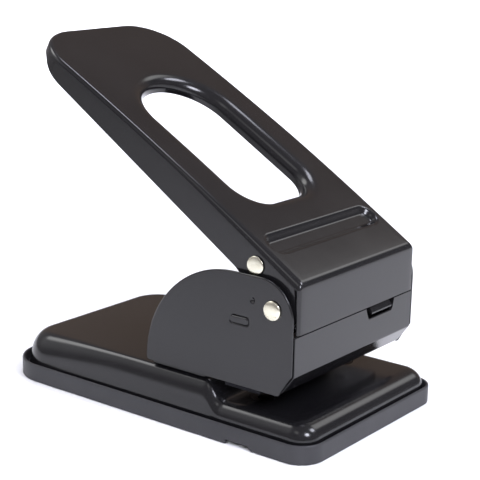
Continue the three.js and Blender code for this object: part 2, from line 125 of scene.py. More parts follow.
class Skin:
    """Faces gathered strip by strip and patch by patch, welded when built."""

    def __init__(self):
        self.points, self.faces = [], []

    def strip(self, rings, closed=True):
        base, n = len(self.points), len(rings[0])
        for ring in rings:
            self.points += [Vector(p) for p in ring]
        for k in range(len(rings) - 1):
            for i in range(n if closed else n - 1):
                a, b = base + k * n + i, base + k * n + (i + 1) % n
                self.faces.append((a, b, b + n, a + n))

    def patch(self, outer, lift, holes=(), guides=(), grid=None):
        """Fills a plan outline, less its holes, and lifts each plan point with lift(u, v)."""
        loops = [np.array(l, float) for l in (outer, *holes, *guides)]
        plan, edges = [], []
        for loop in loops:
            start = len(plan)
            plan += [Vector(p) for p in loop]
            edges += [(start + i, start + (i + 1) % len(loop)) for i in range(len(loop))]
        if grid:
            us, vs = grid
            reach = 0.5 * min(abs(us[1] - us[0]), min(np.diff(vs)))
            spots = np.array([(u, v) for v in vs for u in us])
            keep = inside(spots, loops[0])
            for loop in loops[1:1 + len(holes)]:
                keep &= ~inside(spots, loop)
            for loop in loops:
                keep &= ~close_to(spots, loop, reach)
            plan += [Vector(p) for p in spots[keep]]
        found, _, triangles, origin, _, _ = delaunay_2d_cdt(plan, edges, [], 1, 1e-5)
        flat = [plan[o[0]] if o else f for f, o in zip(found, origin)]
        middles = np.array([sum((flat[i] for i in t), Vector((0, 0))) / 3 for t in triangles])
        keep = np.ones(len(middles), bool)
        for loop in loops[1:1 + len(holes)]:
            keep &= ~inside(middles, loop)
        base = len(self.points)
        self.points += [Vector(lift(p[0], p[1])) for p in flat]
        self.faces += [tuple(base + i for i in t) for t, k in zip(triangles, keep) if k]

    def build(self, name, up=None, weld=FINE_WELD):
        """The welded mesh object; up is the side that its faces should look towards."""
        mesh = bpy.data.meshes.new(name)
        mesh.from_pydata(self.points, [], self.faces)
        bm = bmesh.new()
        bm.from_mesh(mesh)
        bmesh.ops.remove_doubles(bm, verts=bm.verts, dist=weld * MM)
        loose = [v for v in bm.verts if not v.link_faces]
        bmesh.ops.delete(bm, geom=loose, context="VERTS")
        bmesh.ops.recalc_face_normals(bm, faces=bm.faces)
        if up is not None:
            total = sum((f.normal * f.calc_area() for f in bm.faces), Vector())
            if total.dot(Vector(up)) < 0:
                bmesh.ops.reverse_faces(bm, faces=bm.faces)
        bm.to_mesh(mesh)
        bm.free()
        piece = bpy.data.objects.new(name, mesh)
        scene.collection.objects.link(piece)
        return piece


def settle(piece, angle=38):
    """Applies the piece's modifiers, shades it smooth and keeps its real edges crisp."""
    bpy.context.view_layer.update()
    graph = bpy.context.evaluated_depsgraph_get()
    mesh = bpy.data.meshes.new_from_object(piece.evaluated_get(graph))
    piece.modifiers.clear()
    piece.data = mesh
    mesh.polygons.foreach_set("use_smooth", [True] * len(mesh.polygons))
    mesh.set_sharp_from_angle(angle=math.radians(angle))
    weighted = piece.modifiers.new("even_shading", "WEIGHTED_NORMAL")
    weighted.keep_sharp = True
    weighted.weight = 50
    return piece


def thicken(piece, sheet):
    """Gives an open skin its sheet thickness, inwards."""
    m = piece.modifiers.new("sheet", "SOLIDIFY")
    m.thickness = sheet * MM
    m.offset = -1
    m.use_even_offset = True
    m.thickness_clamp = 0
    return piece


def rounded(piece, width, segments, angle):
    """Rounds the edges that turn by more than the angle."""
    m = piece.modifiers.new("edges", "BEVEL")
    m.width = width * MM
    m.segments = segments
    m.limit_method = "ANGLE"
    m.angle_limit = math.radians(angle)
    m.use_clamp_overlap = True
    return piece


def arc(cx, cy, r, a0, a1, steps):
    return [(cx + r * math.cos(math.radians(blend(a0, a1, i / steps))),
             cy + r * math.sin(math.radians(blend(a0, a1, i / steps)))) for i in range(steps + 1)]


def line(a, b, steps):
    """Points from a towards b, with b left out."""
    return [tuple(blend(a[k], b[k], i / steps) for k in range(len(a))) for i in range(steps)]


def every(a, b, step):
    """Even spots from a to b, about a step apart."""
    return list(np.linspace(a, b, max(2, round((b - a) / step)) + 1))


def circle(cx, cy, r, count=28):
    return [(cx + r * math.cos(2 * math.pi * i / count), cy + r * math.sin(2 * math.pi * i / count))
            for i in range(count)]


def turned(name, profile, axis, centre, sides=56):
    """Body of revolution; profile holds (radius, distance along the axis) pairs."""
    skin = Skin()
    rings = []
    for r, d in profile:
        ring = []
        for i in range(sides):
            a = 2 * math.pi * i / sides
            c, s = r * math.cos(a), r * math.sin(a)
            p = (d, c, s) if axis == "X" else (c, s, d)
            ring.append(at(*(centre[k] + p[k] for k in range(3))))
        rings.append(ring)
    skin.strip(rings)
    return skin.build(name)


# ---------------------------------------------------------------- lever

TILT = math.radians(30.3)
PIVOT_Y, PIVOT_Z = 13.5, 80.6
FOLDED_SHEET = 1.7
LEVER_END = 279.0
HALF_FRONT, HALF_REAR = 58.9, 57.3
REAR_R = 32.0
BEND_STEPS = 8
CROWN = (50.6, 83.94), (170.0, 88.4), (300.0, 80.6)
FRONT_CORNER, FRONT_SLOPE, FRONT_BEND = (47.6, 83.84), 0.0374, 5.6
FRONT_LOW = 68.5
HOLE_HALF, HOLE_FRONT_R, HOLE_FRONT, HOLE_REAR = 31.2, 18.7, 108, 187.3
LIP_WIDE, LIP_TALL, LIP_END = 8.5, 7.6, 75.4
LIP_STEPS = 12
FLANGE_START, FLANGE_REAR = (86, 64.1), (300, 76.0)
FLANGE_TURN = (244, 70.3), (256, 71.4), (264, 75.6)
EAR_R, EAR_FROM, EAR_TO = 13, 309.6, 167.4
EAR_PULL = (70, 61)


def on_lever(x, s, n):
    """A point of the lever from its length s and its height n over the pivot line."""
    return at(x, s * math.cos(TILT) - n * math.sin(TILT), s * math.sin(TILT) + n * math.cos(TILT))


def to_lever(y, z):
    """Length and height on the lever of a point seen from the side."""
    return y * math.cos(TILT) + z * math.sin(TILT), -y * math.sin(TILT) + z * math.cos(TILT)


def crown(s):
    """Height of the lever's gently arched top."""
    return bezier_height(CROWN, s)


def half_width(s):
    return blend(HALF_FRONT, HALF_REAR, s / (LEVER_END - REAR_R))


def bend_radius(s):
    """The fold along the side is softer at the front."""
    return blend(4.4, 2.5, smooth((s - 50) / 110))


def pressed(t, soft):
    """Rise from 0 to 1 of a pressed wall with soft upper and lower edges."""
    t = min(1.0, max(0.0, t))
    if t < soft:
        return t * t / (2 * soft * (1 - soft))
    if t > 1 - soft:
        return 1 - (1 - t) ** 2 / (2 * soft * (1 - soft))
    return (t - soft / 2) / (1 - soft)


RECESS_HALF, RECESS_MID, RECESS_DEEP, RECESS_R = 52.5, 77.4, 8.5, 8.2
RECESS_WALL, RECESS_DROP, RECESS_SOFT = 5.0, 3.2, 0.4
RECESS_STEPS = 12


def recess_inset(x, s):
    """How far a point lies inside the pressed bar's outline."""
    return -box_gap(x, s - RECESS_MID, RECESS_HALF, RECESS_DEEP, RECESS_R)


def recess_loop(inset):
    """The pressed bar's outline moved inwards, with even spots along its long sides."""
    r = RECESS_R - inset
    corners = box_corners(RECESS_HALF, RECESS_DEEP, RECESS_R)
    loop = []
    for i, (cx, cy, a) in enumerate(corners):
        loop += arc(cx, RECESS_MID + cy, r, a, a + 90, 12)
        nx, ny, na = corners[(i + 1) % 4]
        end = arc(nx, RECESS_MID + ny, r, na, na + 1, 1)[0]
        loop += line(loop[-1], end, 16 if i % 2 else 1)[1:]
    return loop


def lever_top(x, s):
    return crown(s) - RECESS_DROP * pressed(recess_inset(x, s) / RECESS_WALL, RECESS_SOFT)


def hole_loop(grow):
    """Outline of the hand hole, grown outwards."""
    half, r, front = HOLE_HALF + grow, HOLE_FRONT_R + grow, HOLE_FRONT - grow
    loop = line((-half + r, front), (half - r, front), 9)
    loop += arc(half - r, front + r, r, -90, 0, 16)[:-1]
    loop += line((half, front + r), (half, HOLE_REAR), 14)
    loop += arc(0, HOLE_REAR, half, 0, 180, 44)[:-1]
    loop += line((-half, HOLE_REAR), (-half, front + r), 14)
    loop += arc(-half + r, front + r, r, 180, 270, 16)[:-1]
    return loop


def side_profile(s):
    """(half-width, height) pairs over the side bend, from the flat top to the flange."""
    r = bend_radius(s)
    out = []
    for k in range(BEND_STEPS + 1):
        a = math.pi / 2 * k / BEND_STEPS
        out.append((half_width(s) - r + r * math.sin(a), crown(s) - r + r * math.cos(a)))
    return out


def front_profile():
    """(s, n) pairs over the front bend, from the flat top to the front flange."""
    corner = Vector(FRONT_CORNER)
    back = Vector((1, FRONT_SLOPE)).normalized()
    down = Vector((-math.sin(TILT), -math.cos(TILT)))
    wedge = back.angle(down)
    centre = corner + (back + down).normalized() * FRONT_BEND / math.sin(wedge / 2)
    first = corner + back * FRONT_BEND / math.tan(wedge / 2) - centre
    turn = math.pi - wedge
    return [centre + Matrix.Rotation(turn * k / BEND_STEPS, 2) @ first for k in range(BEND_STEPS + 1)]


CORNER_REACH = 1.2
CORNER_ANGLES = (0, 12, 24, 34, 42, 49, 55, 61, 66, 70, 87)
SLIT = 9  # the flange is slit between this corner column and the next


def lever_half():
    """Edge columns of the right half, front to rear: points over the bend, and each column's kind."""
    front = front_profile()
    s_mid = front[0][0] + CORNER_REACH
    side = side_profile(s_mid)
    x_mid = side[0][0] - CORNER_REACH
    columns, kinds = [], []
    across, along, behind = 14, 60, 8
    for i in range(across):
        columns.append([(x_mid * i / across, p[0], p[1]) for p in front])
        kinds.append("front")
    for i, degrees in enumerate(CORNER_ANGLES):
        c, s = math.cos(math.radians(degrees)), math.sin(math.radians(degrees))
        column = []
        for k in range(BEND_STEPS + 1):
            p = 2 / (2.0 + 5.0 * k / BEND_STEPS)
            dx = (side[k][0] - x_mid) * s ** p
            ds = (s_mid - front[k][0]) * c ** p
            n = front[k][1] * c * c + side[k][1] * s * s
            column.append((x_mid + dx, s_mid - ds, n))
        columns.append(column)
        kinds.append("front" if i <= SLIT else "side")
    for i in range(along + 1):
        s = blend(s_mid, LEVER_END - REAR_R, i / along)
        columns.append([(x, s, n) for x, n in side_profile(s)])
        kinds.append("side" if i < along else "rear")
    for a in range(5, 91, 5):
        c, s = math.cos(math.radians(a)), math.sin(math.radians(a))
        columns.append(rear_column(HALF_REAR - REAR_R + REAR_R * c, LEVER_END - REAR_R + REAR_R * s, c, s))
        kinds.append("rear")
    for i in range(1, behind + 1):
        columns.append(rear_column((HALF_REAR - REAR_R) * (1 - i / behind), LEVER_END, 0, 1))
        kinds.append("rear")
    return columns, kinds


def rear_column(x, s, nx, ns):
    """Points over the bend at the rear, inwards from an edge point with its outward direction."""
    r = bend_radius(s)
    column = []
    for k in range(BEND_STEPS + 1):
        a = math.pi / 2 * k / BEND_STEPS
        back = r - r * math.sin(a)
        column.append((x - nx * back, s - ns * back, crown(s - ns * back) - r + r * math.cos(a)))
    return column


def flange_low(s):
    """Height of the flange's lower edge behind the ear."""
    if s <= FLANGE_TURN[0][0]:
        return line_height(FLANGE_START, FLANGE_TURN[0], s)
    if s >= FLANGE_TURN[2][0]:
        return line_height(FLANGE_TURN[2], FLANGE_REAR, s)
    return bezier_height(FLANGE_TURN, s)


def ear_edge():
    """Lower edge of the side flange, from the rear corner forwards, round the ear and up its front."""
    edge = [(s, flange_low(s)) for s in np.linspace(LEVER_END - REAR_R, FLANGE_START[0], 56)]
    ear = arc(*to_lever(PIVOT_Y, PIVOT_Z), EAR_R, EAR_FROM, EAR_TO, 26)
    edge += [bezier((FLANGE_START, EAR_PULL, ear[0]), i / 9) for i in range(1, 9)]
    return edge + ear


def lever_shell():
    """Folded steel lever: arched top, pressed bar, hand hole with a rolled lip, and flanges all round."""
    skin = Skin()
    half, kinds = lever_half()
    for column in half:
        x, s, _ = column[0]
        column[0] = (x, s, lever_top(x, s))
    mirrored = [[(-x, s, n) for x, s, n in column] for column in half]
    ring_columns = half + mirrored[-2:0:-1]
    rings = [[on_lever(*column[k]) for column in ring_columns] for k in range(BEND_STEPS + 1)]
    skin.strip(rings)

    # flat top with the pressed bar, down to the hand hole
    top_outline = [column[0][:2] for column in ring_columns]
    lips = []
    for k in range(LIP_STEPS + 1):
        a = math.pi / 2 * k / LIP_STEPS
        loop = hole_loop(LIP_WIDE * (1 - math.sin(a)))
        drop = LIP_TALL * (1 - math.cos(a))
        lips.append([on_lever(x, s, lever_top(x, s) - drop) for x, s in loop])
    lips.append([on_lever(x, s, LIP_END) for x, s in hole_loop(0)])
    skin.strip(lips)
    walls = [recess_loop(RECESS_WALL * i / RECESS_STEPS) for i in range(-1, RECESS_STEPS + 2)]
    skin.strip([[on_lever(x, s, lever_top(x, s)) for x, s in loop] for loop in walls])
    for outline, holes in ((top_outline, [hole_loop(LIP_WIDE), walls[0]]), (walls[-1], [])):
        skin.patch(outline, lambda x, s: on_lever(x, s, lever_top(x, s)), holes=holes,
                   grid=(every(-56, 56, 5), every(50, 277, 4)))

    # front flange, wrapped a little round both corners, straight down at rest
    front = [c for c, kind in zip(half, kinds) if kind == "front"]
    span = [[(-x, s, n) for x, s, n in c] for c in front[:0:-1]] + front
    edge = [on_lever(*c[-1]) for c in span]
    rows = 8
    skin.strip([[Vector((p.x, p.y, blend(p.z, FRONT_LOW * MM, j / rows))) for p in edge]
                for j in range(rows + 1)], closed=False)

    # side flanges
    rows = 6
    for side in (1, -1):
        tops = [c[-1] for c, kind in zip(half, kinds) if kind == "side"]
        last = half[kinds.index("rear")][-1]
        tops.append(last)
        outline = [(s, n) for _, s, n in tops]
        drop = flange_low(last[1])
        outline += [(last[1], blend(last[2], drop, j / rows)) for j in range(1, rows)]
        outline += ear_edge()
        outline += line(outline[-1], outline[0], 12)[1:]
        skin.patch(outline, lambda s, n: on_lever(side * half_width(s), s, n),
                   grid=(every(40, 250, 8), every(50, 84, 5)))

    # flange round the rear
    rear = [c[-1] for c, kind in zip(half, kinds) if kind == "rear"]
    span = rear + [(-x, s, n) for x, s, n in rear[-2::-1]]
    skin.strip([[on_lever(x, s, blend(n, flange_low(s), j / rows)) for x, s, n in span]
                for j in range(rows + 1)], closed=False)

    piece = skin.build("lever_shell", up=(0, -0.5, 0.86), weld=WELD)
    return settle(rounded(thicken(piece, FOLDED_SHEET), 0.35, 2, 50))


# ---------------------------------------------------------------- base plate and tray

# half-width, front, rear, and the corner radii at the front and rear
PLATE_PLAN = 65.4, -13.6, 209.8, 13, 25
TRAY_PLAN = 69, -16.5, 213.5, 15, 27
PLATE_LOW, PLATE_SHEET = 7.0, 1.5
DECK_Z, PLATFORM_Z, PLATFORM_FALL = 20.2, 30.3, 2.3
TRAY_WALL, TRAY_FLOOR = 1.8, (3.4, 5.0)
NOTCH_FROM, NOTCH_TO, NOTCH_HIGH, NOTCH_RAMP = 20.45, 38.4, 2.9, 2.1  # finger notch in the left edge

def plan_columns(half, y0, y1, front_r, rear_r, extra):
    """Outline points with their outward directions; the sides also get a point at each extra y."""
    columns = []

    def straight(a, b, normal):
        steps = max(1, round(math.dist(a, b) / 4.0))
        spots = [i / steps for i in range(steps)]
        if normal[0]:
            more = [(y - a[1]) / (b[1] - a[1]) for y in extra]
            spots = sorted(set(spots) | {t for t in more if 0 < t < 1})
        columns.extend((blend(a[0], b[0], t), blend(a[1], b[1], t), *normal) for t in spots)

    def corner(cx, cy, r, start):
        for i in range(18):
            a = math.radians(start + 5 * i)
            columns.append((cx + r * math.cos(a), cy + r * math.sin(a), math.cos(a), math.sin(a)))

    straight((-half + front_r, y0), (half - front_r, y0), (0, -1))
    corner(half - front_r, y0 + front_r, front_r, -90)
    straight((half, y0 + front_r), (half, y1 - rear_r), (1, 0))
    corner(half - rear_r, y1 - rear_r, rear_r, 0)
    straight((half - rear_r, y1), (-half + rear_r, y1), (0, 1))
    corner(-half + rear_r, y1 - rear_r, rear_r, 90)
    straight((-half, y1 - rear_r), (-half, y0 + front_r), (-1, 0))
    corner(-half + front_r, y0 + front_r, front_r, 180)
    return columns


STEP_START, STEP_END = 45.8, 60.4
STEP_ROWS = tuple(STEP_START + 0.9 * i for i in range(-1, 19))


def plate_top(y):
    """Height of the base: low deck, rolled step, platform falling a little towards the rear."""
    platform = PLATFORM_Z - PLATFORM_FALL * (max(0.0, y - 110) / 80) ** 2
    return blend(DECK_Z, platform, pressed((y - STEP_START) / (STEP_END - STEP_START), 0.42))


def base_plate():
    """Pressed base: a wall with a little draft, a soft edge that grows towards the rear, and the top."""
    skin = Skin()
    columns = plan_columns(*PLATE_PLAN, STEP_ROWS)
    wall_steps, arc_steps = 3, 9
    rings = [[] for _ in range(wall_steps + 1 + arc_steps)]
    inner = []
    for x, y, nx, ny in columns:
        high = smooth((y - STEP_START) / (STEP_END - STEP_START))
        rear = smooth((y - 120) / 85)
        front = max(0.0, -ny)
        wide = blend(blend(8.8, 11.5, front), blend(6.6, 11.5, rear), high)
        tall = blend(9.3, blend(15.0, 17.5, rear), high)
        draft = blend(0.3, 1.1, high)
        ix, iy = x - nx * (draft + wide), y - ny * (draft + wide)
        top = plate_top(iy)
        inner.append((ix, iy))
        for k in range(wall_steps + 1):
            t = k / wall_steps
            back = draft * t * t
            rings[k].append(at(x - nx * back, y - ny * back, blend(PLATE_LOW, top - tall, t)))
        for k in range(1, arc_steps + 1):
            a = math.pi / 2 * k / arc_steps
            back = draft + wide * (1 - math.cos(a))
            rings[wall_steps + k].append(at(x - nx * back, y - ny * back, top - tall * (1 - math.sin(a))))
    skin.strip(rings)
    die_holes = [circle(x, PUNCH_Y, 7.2) for x in (-PUNCH_X, PUNCH_X)]
    screw_holes = [circle(x, y, 2.8, 16) for x in (-47, 47) for y in (72, 92)]
    rows = every(-6, 44, 5)[:-1] + list(STEP_ROWS) + every(66, 196, 6)
    skin.patch(inner, lambda x, y: at(x, y, plate_top(y)), holes=die_holes + screw_holes,
               grid=(every(-60, 60, 6), rows))
    piece = skin.build("base_skin", up=(0, 0, 1), weld=WELD)
    return settle(rounded(thicken(piece, PLATE_SHEET), 0.3, 2, 55))


def chip_tray():
    """Shallow tray: its section, as (distance inwards, z), led round the plan, and its floor."""
    skin = Skin()
    columns = plan_columns(*TRAY_PLAN, (20.5, 21.4, 22.6, 38.38, 38.42))
    section = [(TRAY_WALL, TRAY_FLOOR[0]), (TRAY_WALL, 0.7), (1.65, 0.45), (1.4, 0.4), (0.4, 0.4),
               (0.15, 0.45), (0.0, 0.7), (0.0, 3.4), (0.0, 6.8), (0.0, 10.3), (0.08, 10.7), (0.3, 11.02),
               (0.6, 11.17), (0.9, 11.2), (1.2, 11.17), (1.5, 11.02), (1.72, 10.7), (TRAY_WALL, 10.3),
               (TRAY_WALL, TRAY_FLOOR[1])]
    rings = []
    for back, z in section:
        ring = []
        for x, y, nx, ny in columns:
            low = 0.0
            if nx < -0.99 and NOTCH_FROM < y < NOTCH_TO:
                low = NOTCH_HIGH * min(1.0, (y - NOTCH_FROM) / NOTCH_RAMP)
            ring.append(at(x - nx * back, y - ny * back, max(z, low)))
        rings.append(ring)
    skin.strip(rings)
    floor_plan = [(x - nx * TRAY_WALL, y - ny * TRAY_WALL) for x, y, nx, ny in columns]
    for z in TRAY_FLOOR:
        skin.patch(floor_plan, lambda x, y: at(x, y, z))
    return settle(skin.build("tray_skin", weld=WELD), 50)


def tray_posts():
    """Posts the pressed plate rests on, with a soft top edge and a wider foot."""
    profile = [(0, 5.0), (4.9, 5.0), (4.3, 5.5), (4.0, 6.4), (4.0, 23.5), (3.85, 23.85), (3.5, 24.0),
               (0, 24.0)]
    return [settle(turned(f"tray_post_{i + 1}", profile, "Z", (x, y, 0), 32))
            for i, (x, y) in enumerate([(-40, 125), (40, 125), (0, 176)])]


# ---------------------------------------------------------------- head

CHEEK_OUT, CHEEK_IN, CHEEK_BORE = 62.3, 60.5, 4.3
DIMPLE_Y, DIMPLE_Z, DIMPLE_R, DIMPLE_DEEP = 27.0, 83.7, 2.2, 1.45
PAD_Y, PAD_Z, PAD_R, PAD_RISE = 35.6, 70.65, 1.6, 0.3
PAD_HALF = 6.2, 2.25
GROOVE_DEEP, GROOVE_WIDE = 0.75, 0.48
PANEL_TOP, NOTCH_LOW, PANEL_HALF = 67.4, 60.4, 59.8
TONGUE_SIDES = 16.6, 37.9
# how far the cheek's rim has come in, and how far its face has dropped there
RIM = ((0.0, 0.85), (0.05, 0.6), (0.16, 0.38), (0.32, 0.2), (0.52, 0.08), (0.75, 0.0))


def inset_loop(points, d):
    """A closed loop moved inwards; it runs anticlockwise."""
    out = []
    for i, p in enumerate(points):
        a, b = points[i - 1], points[(i + 1) % len(points)]
        n1 = Vector((p[1] - a[1], a[0] - p[0])).normalized()
        n2 = Vector((b[1] - p[1], p[0] - b[0])).normalized()
        m = (n1 + n2) / (1 + n1.dot(n2))
        out.append((p[0] - m.x * d, p[1] - m.y * d))
    return out


def cheek_outline():
    """Side cheek seen along X, anticlockwise from the bottom front, as (y, z)."""
    loop = line((10.2, 33), (98.4, 33), 14)
    loop += arc(99.6, 35.4, 2.4, -90, 0, 6)
    loop += arc(40, 35.4, 62, 2, 89, 60)
    loop += line((39, 97.4), (22.8, 97.4), 4)
    loop += arc(22.3, 75.4, 22, 90, 179, 34)
    loop += line((0.3, 74), (0.3, 47), 5)
    loop += arc(1.6, 46.5, 1.3, 180, 212, 3)
    loop += line((0.7, 45.4), (7.9, 34.6), 3)
    loop += arc(9.8, 35.4, 2.4, 220, 262, 4)
    return loop


def cheek(side):
    """One cheek: rounded rim, and a pressed dimple and a grooved rectangle on its outer face."""
    skin = Skin()
    outer, inner = CHEEK_OUT * side, CHEEK_IN * side
    outline = cheek_outline()
    rings = []
    for back, drop in RIM:
        rings.append([at(outer - side * drop, y, z) for y, z in inset_loop(outline, back)])
    for back, drop in RIM:
        rings.insert(0, [at(inner + side * min(drop, 0.8), y, z) for y, z in inset_loop(outline, back)])
    skin.strip(rings)

    def relief(y, z):
        dent = DIMPLE_DEEP * (1 - smooth(math.hypot(y - DIMPLE_Y, z - DIMPLE_Z) / DIMPLE_R))
        gap = box_gap(y - PAD_Y, z - PAD_Z, *PAD_HALF, PAD_R)
        groove = GROOVE_DEEP * math.exp(-(gap / GROOVE_WIDE) ** 2)
        return PAD_RISE * (1 - smooth((gap + 0.5) / 0.8)) - groove - dent

    def pad_loop(grow):
        return [p for u, v, a in box_corners(*PAD_HALF, PAD_R)
                for p in arc(PAD_Y + u, PAD_Z + v, PAD_R + grow, a, a + 90, 6)]

    guides = [circle(DIMPLE_Y, DIMPLE_Z, r, 20) for r in (2.5, 2.15, 1.8, 1.45, 1.1, 0.75, 0.4)]
    guides += [pad_loop(d) for d in (-0.9, -0.65, -0.4, -0.2, 0.0, 0.2, 0.4, 0.65, 0.9)]
    face = inset_loop(outline, RIM[-1][0])
    bore = circle(PIVOT_Y, PIVOT_Z, CHEEK_BORE, 32)
    skin.patch(face, lambda y, z: at(outer + side * relief(y, z), y, z), holes=[bore], guides=guides,
               grid=(every(2, 100, 8), every(35, 96, 8)))
    skin.patch(face, lambda y, z: at(inner, y, z), holes=[bore])
    skin.strip([[at(x, y, z) for y, z in bore] for x in (outer, inner)])
    return settle(skin.build("cheek_skin_" + ("right" if side > 0 else "left"), weld=WELD), 50)


def bent_path(points, r, steps=7):
    """A polyline with its inner corners rounded."""
    path = [Vector(points[0])]
    for before, corner, after in zip(points, points[1:], points[2:]):
        a, c, b = Vector(before), Vector(corner), Vector(after)
        u, w = (a - c).normalized(), (b - c).normalized()
        wedge = u.angle(w)
        centre = c + (u + w).normalized() * r / math.sin(wedge / 2)
        start = c + u * r / math.tan(wedge / 2) - centre
        turn = (math.pi - wedge) * (1 if u.x * w.y - u.y * w.x < 0 else -1)
        for k in range(steps + 1):
            path.append(centre + Matrix.Rotation(turn * k / steps, 2) @ start)
    path.append(Vector(points[-1]))
    return path


def front_panel():
    """Front plate, bent under at the bottom, with the off-centre notch in its top edge."""
    path = bent_path([(0, PANEL_TOP), (0, 45), (8, 34.2), (20, 34.2)], 2.2)
    runs = [0.0]
    for a, b in zip(path, path[1:]):
        runs.append(runs[-1] + (b - a).length)

    def lift(x, t):
        k = max(i for i in range(len(runs) - 1) if runs[i] <= t + 1e-9)
        f = (t - runs[k]) / (runs[k + 1] - runs[k])
        p = path[k].lerp(path[k + 1], f)
        return at(x, p.x, p.y)

    outline = [(-PANEL_HALF, t) for t in runs] + [(PANEL_HALF, t) for t in runs[::-1]]
    deep = PANEL_TOP - NOTCH_LOW
    outline += [(40.4, 0), (38.6, deep - 0.9), (37.6, deep), (13.8, deep), (12.9, deep - 0.9), (10.2, 0)]
    outline = [p for i, p in enumerate(outline) if math.dist(p, outline[i - 1]) > 0.01]
    skin = Skin()
    skin.patch(outline, lift, grid=(every(-56, 56, 7), runs[1:-1]))
    piece = skin.build("front_panel", up=(0, -1, -0.4), weld=WELD)
    return settle(rounded(thicken(piece, FOLDED_SHEET), 0.4, 3, 50))


def stop_tongue():
    """Tab standing in the notch, its lower lip curled and rounded."""
    path = [(2.0, 77.9), (2.0, 67.2), (1.8, 66.4), (0.5, 64.3), (0.2, 63.7), (0.1, 63.2), (0.2, 62.7),
            (0.5, 62.3), (0.95, 62.15), (1.4, 62.3), (1.75, 62.7), (3.2, 65.6), (3.5, 66.5), (3.6, 67.4),
            (3.6, 77.9)]
    skin = Skin()
    skin.strip([[at(x, y, z) for y, z in path] for x in TONGUE_SIDES])
    for x in TONGUE_SIDES:
        skin.patch(path, lambda y, z: at(x, y, z))
    piece = skin.build("tongue_skin", weld=0.004)
    return settle(rounded(piece, 0.3, 2, 50), 40)


def rivet(shank, head, face, dome):
    """Profile of a pin's end as (radius, distance from its middle): shank and low domed head."""
    cap = [(shank, face), (head - 0.15, face), (head, face + 0.12), (head, face + 0.3 * dome)]
    for i in range(1, 9):
        a = math.radians(90 * i / 9)
        cap.append((head * math.cos(a) ** 0.8, face + dome * (0.3 + 0.7 * math.sin(a))))
    cap.append((0.0, face + dome))
    return cap


def pins():
    """The two cross pins with their rivet heads."""
    axle = rivet(4, 5.5, 62.45, 1.9)
    shaft = rivet(3.5, 5.4, 59.0, 1.1)
    pieces = []
    for name, cap, centre in (("axle_pin", axle, (0, PIVOT_Y, PIVOT_Z)),
                              ("cross_pin", shaft, (0, 28, 101.9))):
        profile = [(r, -x) for r, x in cap[::-1]] + cap
        pieces.append(settle(turned(name, profile, "X", centre, 64), 50))
    return pieces


SPRING_LOW, SPRING_HIGH, SPRING_R, WIRE_R = 44.3, 79.7, 6.3, 0.75


def coil_spring(name, x):
    """Compression spring whose first and last turns lie closed."""
    skin = Skin()
    low, high = SPRING_LOW + WIRE_R, SPRING_HIGH - WIRE_R
    turns, steps, sides = 7.5, 260, 10
    closed = 2 * WIRE_R * 0.98
    pitch = (high - low - 2 * closed) / (turns - 2)
    rings = []
    for i in range(steps + 1):
        u = turns * i / steps
        out = Vector((math.cos(2 * math.pi * u), math.sin(2 * math.pi * u), 0))
        climb = (min(u, 1) + max(u - turns + 1, 0)) * closed + min(max(u - 1, 0), turns - 2) * pitch
        ring = []
        for k in range(sides):
            b = 2 * math.pi * k / sides
            p = out * (SPRING_R + WIRE_R * math.cos(b)) + Vector((0, 0, WIRE_R * math.sin(b)))
            ring.append(at(x + p.x, PUNCH_Y + p.y, low + climb + p.z))
        rings.append(ring)
    skin.strip(rings)
    base = len(skin.points)
    skin.faces += [tuple(range(sides)), tuple(range(base - sides, base))]
    return settle(skin.build(name), 50)


def refined(node, width):
    """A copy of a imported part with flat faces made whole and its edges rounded."""
    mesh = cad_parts[node].data.copy()
    mesh.name = node + "_fine"
    mesh.materials.clear()
    bm = bmesh.new()
    bm.from_mesh(mesh)
    bmesh.ops.remove_doubles(bm, verts=bm.verts, dist=1e-6)
    bmesh.ops.dissolve_limit(bm, angle_limit=math.radians(1.0), verts=bm.verts, edges=bm.edges)
    bm.to_mesh(mesh)
    bm.free()
    piece = bpy.data.objects.new(node + "_fine", mesh)
    scene.collection.objects.link(piece)
    return settle(rounded(piece, width, 2, 30))


# ---------------------------------------------------------------- materials

